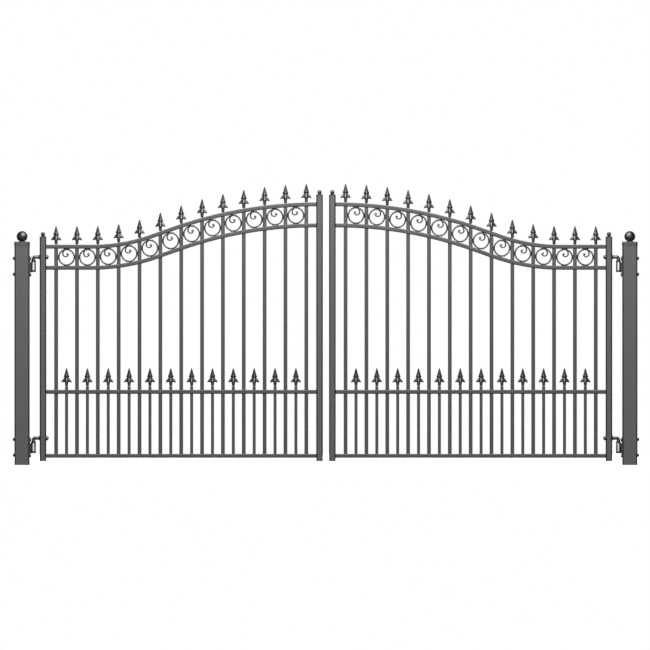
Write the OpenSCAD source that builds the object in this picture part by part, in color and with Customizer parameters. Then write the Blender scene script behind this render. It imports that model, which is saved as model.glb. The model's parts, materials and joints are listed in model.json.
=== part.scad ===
// Double-swing driveway gate: two square posts and two leaves of square pickets
// whose top rails sweep up in an S-curve to the middle, with a band of scroll rings.
// Millimetres. X runs from the left post to the right one, Y points inwards from
// the street, Z is up. The origin is the middle of the left post's foot.
// The right half is the left half mirrored, so everything is drawn on the left.

/* [Posts] */
// Spacing of the two posts, centre to centre
post_spacing = 4114; // [3400:1:5200]
// Side of the square post tube
post_w = 101.6; // [80:0.1:130]
// Wall of the post tube
post_wall = 3; // [2:0.5:8]
// Thickness of the plate that closes the post's foot
post_foot_t = 6; // [3:0.5:20]
// Height of the post tube
post_h = 1507; // [1480:0.5:2200]
// Thickness of the post cap's lid
cap_lid_t = 4; // [2:0.5:12]
// Depth of the post cap's skirt below its lid
cap_skirt_h = 25.5; // [10:0.5:60]
// Wall of the post cap's skirt
cap_skirt_t = 1; // [1:0.1:5]
// Diameter of the ball on the post cap
ball_d = 74.5; // [50:0.5:95]
// Height of the ball's centre above the cap's lid
ball_rise = 35; // [26:0.1:60]
// Diameter of the ball's neck where it stands on the lid
ball_foot_d = 52; // [40:1:80]
// Diameter of the ball's neck under the ball
ball_neck_d = 38; // [24:1:60]
// Height of the ball's flared neck
ball_neck_h = 10; // [6:0.5:24]

/* [Leaf frame] */
// Distance from the post's inner face to the hinge axis
hinge_reach = 26.5; // [26:0.1:60]
// Distance from the hinge axis to the middle of the hinge stile
stile_offset = 64.2; // [56:0.1:120]
// Gap between the two leaves where they meet
leaf_gap = 41.5; // [10:0.5:80]
// Side of the square hinge stile
hinge_stile_w = 44.5; // [38:0.1:50]
// Side of the square meeting stile
meeting_stile_w = 45.3; // [40:0.1:60]
// Wall of both stiles
stile_wall = 2.5; // [1.5:0.1:5]
// Height of the stiles' feet above the ground
stile_foot_z = 26; // [10:1:80]
// Height of the hinge stile above the middle of the top rail
hinge_stile_rise = 59; // [40:0.5:140]
// Height of the meeting stile above the middle of the top rail
meeting_stile_rise = 56.5; // [40:0.5:140]
// Height of a rail
rail_h = 27; // [20:0.5:34]
// Depth of a rail, front to back
rail_d = 36; // [30:0.5:38]
// Height of the middle of the bottom rail
bottom_rail_z = 61.3; // [45:0.1:140]
// Height of the middle of the mid rail
mid_rail_z = 494.7; // [300:0.1:900]

/* [Sweep of the top] */
// Height of the middle of the top rail at the hinge stile
top_rail_z = 1477.4; // [1260:0.1:2000]
// Rise of the top rail from the hinge stile to the meeting stile
top_rise = 286.5; // [120:0.5:400]
// Length of the level stretch of top rail at the hinge stile
level_run = 310.3; // [150:0.1:500]
// Radius of the lower bend of the top rail
lower_bend_r = 1200; // [800:1:1500]
// Length of the straight stretch between the two bends
slope_run = 150; // [20:1:300]

/* [Pickets] */
// Number of full-height pickets in a leaf
picket_count = 13; // [11:1:15]
// Side of a square picket
picket_w = 25.4; // [16:0.1:28]
// Clear gap between a stile and the picket next to it
end_gap = 54.1; // [40:0.1:90]
// Side of a square short picket
short_w = 20.5; // [12:0.1:24]
// Height of a short picket above the mid rail, under its spear
short_top = 25; // [5:1:80]

/* [Castings] */
// Width of the bar that a ring is made of, seen from the front
ring_bar = 10.5; // [6:0.5:14]
// Thickness of a ring and of its scroll, front to back
ring_t = 12; // [8:0.5:20]
// Width of the scroll's bar, seen from the front
scroll_bar = 9.5; // [6:0.5:12]
// Diameter of the blob that ends a scroll
scroll_blob_d = 14; // [10:0.5:18]
// Height of a spear's head
spear_head_h = 101; // [60:1:140]
// Height of the neck under a spear on the top rail
spear_neck_h = 26; // [15:1:60]
// Height of the neck under a spear on a short picket
short_neck_h = 22; // [15:1:60]
// Width of a spear across its barbs
spear_w = 66; // [40:1:80]
// Depth of a spear across its front and back barbs
spear_d = 48; // [30:1:60]
// Diameter of the foot of a spear's neck on the top rail
spear_foot_d = 20; // [10:0.5:22]
// Diameter of the foot of a spear's neck on a short picket
short_foot_d = 20; // [10:0.5:20]
// Thickness of the plate of a stile cap
stile_cap_t = 9.5; // [2:0.5:12]
// Height of the low pyramid on a stile cap
stile_cap_peak = 5; // [1:0.5:10]
// Diameter of the ball on a stile cap
stile_ball_d = 29.5; // [18:0.5:36]
// Height of that ball's centre above the top of the stile
stile_ball_rise = 26; // [20:0.5:34]

/* [Hinges] */
// Height of the upper hinge's arm
upper_hinge_z = 1407.5; // [1240:0.5:1425]
// Height of the lower hinge's arm
lower_hinge_z = 182; // [170:0.5:400]
// Diameter of the hinge rod
rod_d = 23; // [14:0.5:24]
// Radius of the rod's bend, to the middle of the rod
rod_bend_r = 13; // [12:0.5:24]
// Running clearance round the rod in the barrel, on the radius
rod_clearance = 0.05; // [0.02:0.01:0.1]
// Diameter of the hinge barrel
barrel_d = 33; // [28:0.5:38]
// Length of the hinge barrel
barrel_h = 67; // [50:1:100]
// Drop from the rod's arm to the top of the barrel
barrel_drop = 35; // [26:0.5:40]
// Thickness of the web between plate and barrel
web_t = 10; // [6:0.5:16]
// Thickness of the bracket's plate
plate_t = 4; // [3:0.5:5]
// Width of the bracket's plate, front to back
plate_w = 64; // [50:1:76]
// Height of the bracket's plate
plate_h = 139; // [135:1:180]
// Rise of the plate's top above the rod's arm
plate_rise = 6; // [0:1:30]
// Drop from the rod's arm to the upper through-bolt
upper_bolt_drop = 9; // [5:0.5:12]
// Drop from the rod's arm to the lower through-bolt
lower_bolt_drop = 117; // [115:0.5:130]
// Diameter of a through-bolt
bolt_d = 12; // [8:0.5:14]
// Diameter of a through-bolt's domed head
bolt_head_d = 25; // [20:0.5:32]
// Height of the straight part of a through-bolt's head
bolt_head_h = 1; // [0.5:0.5:12]
// Height of the dome on a through-bolt's head
bolt_dome_h = 12; // [4:0.5:12]
// Width of a through-bolt's nut across its flats
bolt_nut_w = 27; // [16:0.5:28]
// Thickness of a through-bolt's nut
bolt_nut_t = 6.5; // [5:0.5:9]
// How far a through-bolt's end stands out of its nut
bolt_end = 2; // [0:0.5:4]
// Width of a rod's nut across its flats
rod_nut_w = 30; // [24:0.5:34]
// Thickness of the six-sided part of a rod's nut
rod_nut_t = 8; // [6:0.5:12]
// Height of the dome on a rod's nut
rod_nut_dome = 9; // [5:0.5:12]

/* [Hidden] */
$fn = 48;
// Clearance at a welded or seated joint between two pieces
seat = 0.3;
// Thickness of the round collar that turns on top of the barrel
collar_t = 9.5;
// How far the collar stands out from the rod
collar_lip = 5;
// How far the rod's end stays inside the barrel's lower end
rod_inset = 2;
// How far a cut runs past the faces that it opens
CUT = 1;

// The two posts and the leaf's vertical lines, from left to right
post_face = post_w / 2;
axis_x = post_face + hinge_reach;
hinge_stile_x = axis_x + stile_offset;
leaf_end_x = (post_spacing - leaf_gap) / 2;
meeting_stile_x = leaf_end_x - meeting_stile_w / 2;
rail_start = hinge_stile_x + hinge_stile_w / 2;
rail_end = meeting_stile_x - meeting_stile_w / 2;

// Pickets share the clear width evenly between the two end gaps
first_picket_x = rail_start + end_gap + picket_w / 2;
last_picket_x = rail_end - end_gap - picket_w / 2;
pitch = (last_picket_x - first_picket_x) / (picket_count - 1);
picket_xs = [for (i = [0 : picket_count - 1]) first_picket_x + i * pitch];
short_xs = [for (i = [0 : picket_count - 2]) first_picket_x + (i + 0.5) * pitch];
rail_half = rail_h / 2;
picket_foot_z = bottom_rail_z + rail_half;
short_top_z = mid_rail_z + rail_half + short_top;

// A ring just fits between two pickets, and the arched rail runs a ring below the top rail
ring_d = pitch - picket_w - 2 * seat;
arch_drop = ring_d + rail_h + 2 * seat;

// The S-curve: level, lower bend, straight slope, upper bend, level again at the crest
bend_start_x = rail_start + level_run;
crest_x = rail_end;
bend_run = crest_x - bend_start_x;
bends_r = (pow(bend_run, 2) + pow(top_rise, 2) - pow(slope_run, 2)) / (2 * top_rise);
upper_bend_r = bends_r - lower_bend_r;
slope_angle = atan2(bend_run, bends_r - top_rise) - atan2(slope_run, bends_r);
lower_centre_z = top_rail_z + lower_bend_r;
upper_centre_z = top_rail_z + top_rise - upper_bend_r;
// Flats that each bend is cut into
LOWER_FLATS = 10;
UPPER_FLATS = 16;

// ---- Helpers ----

module right_side() translate([post_spacing, 0, 0]) mirror([1, 0, 0]) children();

// A box from its middle in X and Y and its lowest Z
module post_block(x, side_x, side_y, z0, z1)
    translate([x - side_x / 2, -side_y / 2, z0]) cube([side_x, side_y, z1 - z0]);

// An outline in X and Z, given a depth centred on Y = 0
module upright_plate(depth)
    translate([0, depth / 2, 0]) rotate([90, 0, 0]) linear_extrude(depth) children();

module along_x(x, z) translate([x, 0, z]) rotate([0, 90, 0]) children();

// Height of the line that runs drop below the middle of the top rail, measured square to it
function line_z(x, drop) =
    let (lower_r = lower_bend_r + drop, upper_r = upper_bend_r - drop,
         from_start = x - bend_start_x, to_crest = crest_x - x)
    from_start <= 0 ? top_rail_z - drop :
    to_crest <= 0 ? top_rail_z + top_rise - drop :
    from_start < lower_r * sin(slope_angle)
        ? lower_centre_z - sqrt(pow(lower_r, 2) - pow(from_start, 2)) :
    to_crest < upper_r * sin(slope_angle)
        ? upper_centre_z + sqrt(pow(upper_r, 2) - pow(to_crest, 2)) :
    lower_centre_z - lower_r * cos(slope_angle)
        + (from_start - lower_r * sin(slope_angle)) * tan(slope_angle);

function line_slope(x, drop) = (line_z(x + 1, drop) - line_z(x - 1, drop)) / 2;

function line_points(drop) = concat(
    [[rail_start, top_rail_z - drop]],
    [for (i = [0 : LOWER_FLATS]) let (a = slope_angle * i / LOWER_FLATS, r = lower_bend_r + drop)
        [bend_start_x + r * sin(a), lower_centre_z - r * cos(a)]],
    [for (i = [UPPER_FLATS : -1 : 0]) let (a = slope_angle * i / UPPER_FLATS, r = upper_bend_r - drop)
        [crest_x - r * sin(a), upper_centre_z + r * cos(a)]]);

function reversed(list) = [for (i = [len(list) - 1 : -1 : 0]) list[i]];

module swept_rail(drop) upright_plate(rail_d)
    polygon(concat(line_points(drop + rail_half), reversed(line_points(drop - rail_half))));

module level_rail(z) translate([rail_start, -rail_d / 2, z - rail_half])
    cube([rail_end - rail_start, rail_d, rail_h]);

// Square holes punched down through a rail for the bars at xs
module punched(xs, side, z0, z1)
    for (x = xs) post_block(x, side + 2 * seat, side + 2 * seat, z0, z1);

// ---- Posts ----

module post() {
    difference() {
        post_block(0, post_w, post_w, 0, post_h);
        post_block(0, post_w - 2 * post_wall, post_w - 2 * post_wall, post_foot_t, post_h + CUT);
        for (z = bolt_zs)
            along_x(-post_w, z) cylinder(d = bolt_d + 2 * seat, h = 2 * post_w);
    }
}

module post_cap() {
    skirt_in = post_w + 2 * seat;
    skirt_out = skirt_in + 2 * cap_skirt_t;
    difference() {
        post_block(0, skirt_out, skirt_out, post_h - cap_skirt_h, post_h + cap_lid_t);
        post_block(0, skirt_in, skirt_in, post_h - cap_skirt_h - CUT, post_h);
    }
}

module post_ball() translate([0, 0, post_h + cap_lid_t]) {
    difference() {
        translate([0, 0, ball_rise]) sphere(d = ball_d);
        translate([0, 0, -ball_d]) cylinder(d = 2 * ball_d, h = ball_d);
    }
    cylinder(d1 = ball_foot_d, d2 = ball_neck_d, h = ball_neck_h);
}

// ---- Hinges ----

arm_zs = [upper_hinge_z, lower_hinge_z];
bolt_zs = [for (z = arm_zs, drop = [upper_bolt_drop, lower_bolt_drop]) z - drop];
rod_bore_d = rod_d + 2 * rod_clearance;

module domed_disc(d, straight, dome) {
    dome_r = (pow(d / 2, 2) + pow(dome, 2)) / (2 * dome);
    cylinder(d = d, h = straight);
    intersection() {
        translate([0, 0, straight + dome - dome_r]) sphere(r = dome_r);
        translate([0, 0, straight]) cylinder(d = 2 * d, h = dome + CUT);
    }
}

module post_bolts() for (z = bolt_zs) {
    head_x = -post_face;
    along_x(head_x, z) mirror([0, 0, 1]) domed_disc(bolt_head_d, bolt_head_h, bolt_dome_h);
    along_x(head_x, z) cylinder(d = bolt_d, h = post_w + plate_t + bolt_nut_t + bolt_end);
}

module post_nuts() for (z = bolt_zs) along_x(post_face + plate_t, z)
    difference() {
        rotate([0, 0, 30]) cylinder(d = bolt_nut_w / cos(30), h = bolt_nut_t, $fn = 6);
        translate([0, 0, -CUT]) cylinder(d = bolt_d + 2 * rod_clearance, h = bolt_nut_t + 2 * CUT);
    }

module bracket(arm_z) {
    barrel_top = arm_z - barrel_drop;
    plate_top = arm_z + plate_rise;
    difference() {
        union() {
            translate([post_face, -plate_w / 2, plate_top - plate_h]) cube([plate_t, plate_w, plate_h]);
            translate([post_face, -web_t / 2, barrel_top - barrel_h]) cube([hinge_reach, web_t, barrel_h]);
            translate([axis_x, 0, barrel_top - barrel_h]) cylinder(d = barrel_d, h = barrel_h);
        }
        translate([axis_x, 0, barrel_top - barrel_h - CUT])
            cylinder(d = rod_bore_d, h = barrel_h + 2 * CUT);
        for (drop = [upper_bolt_drop, lower_bolt_drop])
            along_x(post_face - CUT, arm_z - drop)
                cylinder(d = bolt_d + 2 * seat, h = plate_t + 2 * CUT);
    }
}

module hinge_rod(arm_z) {
    barrel_top = arm_z - barrel_drop;
    leg_foot = barrel_top - barrel_h + rod_inset;
    leg_top = arm_z - rod_bend_r;
    arm_start = axis_x + rod_bend_r;
    translate([axis_x, 0, leg_foot]) cylinder(d = rod_d, h = leg_top - leg_foot);
    translate([axis_x, 0, barrel_top + seat]) cylinder(d = rod_d + 2 * collar_lip, h = collar_t);
    translate([arm_start, 0, leg_top]) rotate([90, 0, 0]) rotate([0, 0, 90])
        rotate_extrude(angle = 90) translate([rod_bend_r, 0]) circle(d = rod_d);
    along_x(arm_start, arm_z) cylinder(d = rod_d, h = rail_start + rod_nut_t - arm_start);
}

// Step between a rod nut's six sides and its dome
NUT_RIM = 1;

// Domed nut with its flat face at Z = 0; a blind one hides the end of the rod
module rod_nut(blind) difference() {
    union() {
        rotate([0, 0, 30]) cylinder(d = rod_nut_w / cos(30), h = rod_nut_t, $fn = 6);
        translate([0, 0, rod_nut_t - NUT_RIM]) domed_disc(rod_nut_w - NUT_RIM, NUT_RIM, rod_nut_dome);
    }
    translate([0, 0, -CUT])
        cylinder(d = rod_bore_d, h = CUT + rod_nut_t + (blind ? seat : 2 * rod_nut_dome));
}

module rod_nuts() for (z = arm_zs) {
    along_x(hinge_stile_x - hinge_stile_w / 2, z) mirror([0, 0, 1]) rod_nut(false);
    along_x(rail_start, z) rod_nut(true);
}

// ---- Leaf frame ----

hinge_stile_top = top_rail_z + hinge_stile_rise;
meeting_stile_top = top_rail_z + top_rise + meeting_stile_rise;

module stile(x, side, top) difference() {
    post_block(x, side, side, stile_foot_z, top);
    post_block(x, side - 2 * stile_wall, side - 2 * stile_wall, stile_foot_z - CUT, top + CUT);
}

module hinge_stile() difference() {
    stile(hinge_stile_x, hinge_stile_w, hinge_stile_top);
    for (z = arm_zs)
        along_x(hinge_stile_x - hinge_stile_w, z) cylinder(d = rod_d + 2 * seat, h = 2 * hinge_stile_w);
}

module meeting_stile() stile(meeting_stile_x, meeting_stile_w, meeting_stile_top);

module stile_cap(x, side, top) translate([x, 0, top]) {
    post_block(0, side, side, 0, stile_cap_t);
    intersection() {
        cap_roof(side);
        rotate([0, 0, 90]) cap_roof(side);
    }
    translate([0, 0, stile_ball_rise]) sphere(d = stile_ball_d);
}

// A low roof across the cap; two of them crossed make its pyramid
module cap_roof(side) upright_plate(side) polygon([
    [-side / 2, stile_cap_t / 2], [side / 2, stile_cap_t / 2], [side / 2, stile_cap_t],
    [0, stile_cap_t + stile_cap_peak], [-side / 2, stile_cap_t]]);

module stile_caps() {
    stile_cap(hinge_stile_x, hinge_stile_w, hinge_stile_top);
    stile_cap(meeting_stile_x, meeting_stile_w, meeting_stile_top);
}

module bottom_rail() level_rail(bottom_rail_z);

module mid_rail() difference() {
    level_rail(mid_rail_z);
    punched(picket_xs, picket_w, mid_rail_z - rail_h, mid_rail_z + rail_h);
    punched(short_xs, short_w, mid_rail_z - rail_h, mid_rail_z + rail_h);
}

module arch_rail() difference() {
    swept_rail(arch_drop);
    punched(picket_xs, picket_w, mid_rail_z, top_rail_z + top_rise);
}

module top_rail() swept_rail(0);

// ---- Pickets ----

// Each picket ends on the slope of the top rail's underside
module pickets() for (x = picket_xs) {
    left = x - picket_w / 2;
    right = x + picket_w / 2;
    upright_plate(picket_w) polygon([
        [left, picket_foot_z], [right, picket_foot_z],
        [right, line_z(right, rail_half) - seat], [left, line_z(left, rail_half) - seat]]);
}

module short_pickets() for (x = short_xs)
    post_block(x, short_w, short_w, picket_foot_z, short_top_z);

// ---- Castings ----

// A scroll is a wide arc that leaves the ring near its top, then a narrow arc that winds
// under and up to the blob. Both meet at the scroll's left side. Shares of the ring's radius.
WIDE_ARC_R = 0.583;
NARROW_ARC_R = 0.33;
WIDE_ARC_X = 0.148;
SCROLL_MIDDLE_Z = 0.40;
BLOB_AT = [0.087, 0.365];
WIDE_ARC_START = 121;
NARROW_ARC_END = 340;
WIDE_STEPS = 6;
NARROW_STEPS = 12;

function arc_points(x, z, r, from, to, steps) =
    [for (i = [0 : steps]) let (a = from + (to - from) * i / steps) [x + r * cos(a), z + r * sin(a)]];

// One side of the scroll's bar, side away from its middle line
function scroll_side(r, side) = concat(
    arc_points(WIDE_ARC_X * r, SCROLL_MIDDLE_Z * r, WIDE_ARC_R * r + side,
        WIDE_ARC_START, 180, WIDE_STEPS),
    arc_points((WIDE_ARC_X - WIDE_ARC_R + NARROW_ARC_R) * r, SCROLL_MIDDLE_Z * r,
        NARROW_ARC_R * r + side, 180 + 180 / NARROW_STEPS, NARROW_ARC_END, NARROW_STEPS - 1));

module ring_scroll() {
    r = ring_d / 2;
    upright_plate(ring_t) difference() {
        circle(r = r);
        circle(r = r - ring_bar);
    }
    upright_plate(ring_t)
        polygon(concat(scroll_side(r, scroll_bar / 2), reversed(scroll_side(r, -scroll_bar / 2))));
    translate([BLOB_AT[0] * r, ring_t / 2, BLOB_AT[1] * r]) rotate([90, 0, 0])
        cylinder(d = scroll_blob_d, h = ring_t);
}

module ring_scrolls() for (x = short_xs) translate([x, 0, line_z(x, arch_drop / 2)]) ring_scroll();

// Rings of a spear, bottom to top. Each is the half width to the sides and its height,
// the half depth to the front and its height, and the corner between and its height.
// Widths are shares of the barbs' half width and half depth, heights shares of the head.
BARBED_RINGS = [
    [1.00, 0.03, 1.00, 0.03, 0.34, 0.15],
    [1.00, 0.07, 1.00, 0.09, 0.38, 0.21],
    [0.47, 0.33, 0.52, 0.29, 0.36, 0.33],
    [0.56, 0.41, 0.64, 0.33, 0.42, 0.38],
    [0.03, 1.00, 0.04, 1.00, 0.02, 1.00]];

// How far the neck reaches up between the barbs, as a share of the head's height
NECK_IN_HEAD = 0.14;
// The neck is widest at this share of its height, by this much on the radius
NECK_SWELL_AT = 0.7;
NECK_SWELL = 1.5;
// How much wider than its foot the neck is at its top, on the radius
NECK_TOP_SWELL = 1;
// How far the corners between the barbs stand out, as a share of the half depth
CORNER_REACH = 0.8;

function spear_ring(side_x, side_z, front_y, front_z, corner, corner_z) = [
    [side_x, 0, side_z], [corner, corner, corner_z],
    [0, front_y, front_z], [-corner, corner, corner_z],
    [-side_x, 0, side_z], [-corner, -corner, corner_z],
    [0, -front_y, front_z], [corner, -corner, corner_z]];

function round_ring(r, z, slope) =
    [for (i = [0 : 7]) [r * cos(45 * i), r * sin(45 * i), z + slope * r * cos(45 * i)]];

function flat_list(lists) = [for (l = lists, v = l) v];

// A spear on its neck; slope tips the foot to sit on a sloping rail
module spear(neck_h, foot_d, slope) {
    hw = spear_w / 2;
    hd = spear_d / 2;
    neck_top = neck_h + NECK_IN_HEAD * spear_head_h;
    rings = concat(
        [round_ring(foot_d / 2, 0, slope), round_ring(foot_d / 2 + NECK_SWELL, neck_h * NECK_SWELL_AT, 0),
         round_ring(foot_d / 2 + NECK_TOP_SWELL, neck_top, 0)],
        [for (g = BARBED_RINGS) spear_ring(g[0] * hw, neck_h + g[1] * spear_head_h,
            g[2] * hd, neck_h + g[3] * spear_head_h,
            g[4] * hd * CORNER_REACH, neck_h + g[5] * spear_head_h)]);
    top = len(rings) - 1;
    sides = [for (k = [0 : top - 1], i = [0 : 7]) let (j = (i + 1) % 8)
        each [[8 * k + i, 8 * k + 8 + i, 8 * k + j], [8 * k + j, 8 * k + 8 + i, 8 * k + 8 + j]]];
    ends = [for (i = [1 : 6]) each [[0, i, i + 1], [8 * top, 8 * top + i + 1, 8 * top + i]]];
    polyhedron(points = flat_list(rings), faces = concat(sides, ends), convexity = 4);
}

module top_spears() for (x = picket_xs) translate([x, 0, line_z(x, -rail_half) + seat])
    spear(spear_neck_h, spear_foot_d, line_slope(x, -rail_half));

module short_spears() for (x = short_xs) translate([x, 0, short_top_z])
    spear(short_neck_h, short_foot_d, 0);

// ---- Colours ----

module post_paint() color([0.20, 0.20, 0.21]) children();
module frame_paint() color([0.17, 0.17, 0.18]) children();
module cast_paint() color([0.13, 0.13, 0.14]) children();
module hardware() color([0.10, 0.10, 0.11]) children();

// ---- The pieces ----

post_paint() post();  // left_post
right_side() post_paint() post();  // right_post
post_paint() post_cap();  // left_post_cap
right_side() post_paint() post_cap();  // right_post_cap
cast_paint() post_ball();  // left_post_ball
right_side() cast_paint() post_ball();  // right_post_ball
hardware() post_bolts();  // left_post_bolts
right_side() hardware() post_bolts();  // right_post_bolts
hardware() post_nuts();  // left_post_nuts
right_side() hardware() post_nuts();  // right_post_nuts
hardware() bracket(upper_hinge_z);  // left_upper_bracket
right_side() hardware() bracket(upper_hinge_z);  // right_upper_bracket
hardware() bracket(lower_hinge_z);  // left_lower_bracket
right_side() hardware() bracket(lower_hinge_z);  // right_lower_bracket
frame_paint() hinge_stile();  // left_hinge_stile
right_side() frame_paint() hinge_stile();  // right_hinge_stile
frame_paint() meeting_stile();  // left_meeting_stile
right_side() frame_paint() meeting_stile();  // right_meeting_stile
cast_paint() stile_caps();  // left_stile_caps
right_side() cast_paint() stile_caps();  // right_stile_caps
frame_paint() bottom_rail();  // left_bottom_rail
right_side() frame_paint() bottom_rail();  // right_bottom_rail
frame_paint() mid_rail();  // left_mid_rail
right_side() frame_paint() mid_rail();  // right_mid_rail
frame_paint() arch_rail();  // left_arch_rail
right_side() frame_paint() arch_rail();  // right_arch_rail
frame_paint() top_rail();  // left_top_rail
right_side() frame_paint() top_rail();  // right_top_rail
frame_paint() pickets();  // left_pickets
right_side() frame_paint() pickets();  // right_pickets
frame_paint() short_pickets();  // left_short_pickets
right_side() frame_paint() short_pickets();  // right_short_pickets
cast_paint() ring_scrolls();  // left_ring_scrolls
right_side() cast_paint() ring_scrolls();  // right_ring_scrolls
cast_paint() top_spears();  // left_top_spears
right_side() cast_paint() top_spears();  // right_top_spears
cast_paint() short_spears();  // left_short_spears
right_side() cast_paint() short_spears();  // right_short_spears
hardware() hinge_rod(upper_hinge_z);  // left_upper_hinge_rod
right_side() hardware() hinge_rod(upper_hinge_z);  // right_upper_hinge_rod
hardware() hinge_rod(lower_hinge_z);  // left_lower_hinge_rod
right_side() hardware() hinge_rod(lower_hinge_z);  // right_lower_hinge_rod
hardware() rod_nuts();  // left_rod_nuts
right_side() hardware() rod_nuts();  // right_rod_nuts
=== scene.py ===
"""Double-swing driveway gate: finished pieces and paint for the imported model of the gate.

Everything is in metres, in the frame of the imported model: X from the left post to the right one,
Y inwards from the street, Z up. Pieces are shaped on the left side and mirrored to the right.
"""

import json
import math

import bmesh
import bpy
from bpy.props import FloatProperty, FloatVectorProperty, PointerProperty
from mathutils import Matrix, Vector


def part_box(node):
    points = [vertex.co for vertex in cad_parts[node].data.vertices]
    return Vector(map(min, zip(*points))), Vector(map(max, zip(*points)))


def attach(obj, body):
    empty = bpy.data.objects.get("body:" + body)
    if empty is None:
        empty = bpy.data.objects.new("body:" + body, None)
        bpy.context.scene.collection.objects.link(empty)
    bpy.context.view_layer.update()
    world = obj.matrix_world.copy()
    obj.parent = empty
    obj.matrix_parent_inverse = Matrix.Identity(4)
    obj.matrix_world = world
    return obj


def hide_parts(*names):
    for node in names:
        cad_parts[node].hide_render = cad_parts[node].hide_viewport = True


bl_info = {
    "name": "Driveway Gate",
    "version": (1, 0, 0),
    "blender": (4, 5, 0),
    "location": "View3D > Sidebar > Gate",
    "description": "Builds the painted steelwork, castings and hinges of a double-swing driveway gate",
    "category": "Add Mesh",
}

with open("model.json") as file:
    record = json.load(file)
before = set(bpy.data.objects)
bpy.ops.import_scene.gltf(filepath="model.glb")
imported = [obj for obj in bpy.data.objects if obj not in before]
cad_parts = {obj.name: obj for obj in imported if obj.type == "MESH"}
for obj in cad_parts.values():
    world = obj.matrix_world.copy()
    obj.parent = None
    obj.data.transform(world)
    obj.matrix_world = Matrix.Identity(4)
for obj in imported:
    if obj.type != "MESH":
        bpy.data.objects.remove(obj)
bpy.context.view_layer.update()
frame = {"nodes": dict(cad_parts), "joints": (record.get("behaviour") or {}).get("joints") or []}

MM = 0.001
X, Y, Z = Vector((1, 0, 0)), Vector((0, 1, 0)), Vector((0, 0, 1))
GATE_MIDDLE = (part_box("left_post")[0].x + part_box("right_post")[1].x) / 2
SMOOTH_ANGLE = math.radians(38)


# ---- Sizes and colours that a user would change ----


class GateSteel(bpy.types.PropertyGroup):
    """Tube corners, the sweep of the curved rails and the weld beads."""

    post_corner: FloatProperty(
        name="Post corner", description="Outside corner radius of the post tube",
        default=10 * MM, unit="LENGTH")
    stile_corner: FloatProperty(
        name="Stile corner", description="Outside corner radius of the stiles",
        default=10 * MM, unit="LENGTH")
    rail_corner: FloatProperty(
        name="Rail corner", description="Outside corner radius of the rails",
        default=5 * MM, unit="LENGTH")
    picket_corner: FloatProperty(
        name="Picket corner", description="Outside corner radius of the pickets",
        default=4.5 * MM, unit="LENGTH")
    cap_plate: FloatProperty(
        name="Cap plate", description="Thickness of the plate of a stile cap",
        default=9.5 * MM, unit="LENGTH")
    cap_peak: FloatProperty(
        name="Cap peak", description="Height of the low pyramid on a stile cap",
        default=5 * MM, unit="LENGTH")
    stile_wall: FloatProperty(
        name="Stile wall", description="Wall of the stiles, seen at their open feet",
        default=2.5 * MM, unit="LENGTH")
    level_run: FloatProperty(
        name="Level run", description="Level stretch of the top rail at the hinge stile",
        default=310.3 * MM, unit="LENGTH")
    lower_bend: FloatProperty(
        name="Lower bend", description="Radius of the top rail's lower bend",
        default=1200 * MM, unit="LENGTH")
    slope_run: FloatProperty(
        name="Slope run", description="Straight stretch of the top rail between its bends",
        default=150 * MM, unit="LENGTH")
    weld: FloatProperty(
        name="Weld bead", description="Radius of a weld bead",
        default=1.9 * MM, unit="LENGTH")


class GateCastings(bpy.types.PropertyGroup):
    """Rings, scrolls, spears and balls."""

    ring_bar: FloatProperty(
        name="Ring bar", description="Width of a ring's bar, seen from the front",
        default=10.5 * MM, unit="LENGTH")
    scroll_bar: FloatProperty(
        name="Scroll bar", description="Width of a scroll's bar where it leaves the ring",
        default=10 * MM, unit="LENGTH")
    scroll_thin: FloatProperty(
        name="Scroll taper", description="Width of the scroll's end as a share of its start",
        default=0.85, min=0.3, max=1.0)
    blob: FloatProperty(
        name="Scroll blob", description="Diameter of the blob that ends a scroll",
        default=14 * MM, unit="LENGTH")
    ball: FloatProperty(
        name="Post ball", description="Diameter of the ball on a post",
        default=74.5 * MM, unit="LENGTH")
    stile_ball: FloatProperty(
        name="Stile ball", description="Diameter of the ball on a stile",
        default=29.5 * MM, unit="LENGTH")


class GateHinges(bpy.types.PropertyGroup):
    """Rods, barrels, bolts and nuts."""

    rod: FloatProperty(
        name="Rod", description="Diameter of the hinge rod", default=23 * MM, unit="LENGTH")
    rod_bend: FloatProperty(
        name="Rod bend", description="Radius of the rod's bend", default=13 * MM, unit="LENGTH")
    barrel: FloatProperty(
        name="Barrel", description="Outside diameter of the hinge barrel",
        default=33 * MM, unit="LENGTH")
    barrel_length: FloatProperty(
        name="Barrel length", description="Length of the hinge barrel",
        default=67 * MM, unit="LENGTH")
    dark_end: FloatProperty(
        name="Dark end", description="Length of the painted ring at the barrel's foot",
        default=12 * MM, unit="LENGTH")
    collar: FloatProperty(
        name="Collar", description="Thickness of the collar on top of the barrel",
        default=9.5 * MM, unit="LENGTH")
    collar_lip: FloatProperty(
        name="Collar lip", description="How far the collar stands out from the rod",
        default=5 * MM, unit="LENGTH")
    rod_inset: FloatProperty(
        name="Rod inset", description="How far the rod's end stays inside the barrel's lower end",
        default=2 * MM, unit="LENGTH")
    plate: FloatProperty(
        name="Plate", description="Thickness of the hinge plate", default=4 * MM, unit="LENGTH")
    web: FloatProperty(
        name="Web", description="Thickness of the web between plate and barrel",
        default=10 * MM, unit="LENGTH")
    nut_dome: FloatProperty(
        name="Nut dome", description="Height of the dome on a stile's nut",
        default=9 * MM, unit="LENGTH")
    washer: FloatProperty(
        name="Washer", description="Thickness of the washers", default=2 * MM, unit="LENGTH")


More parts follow.
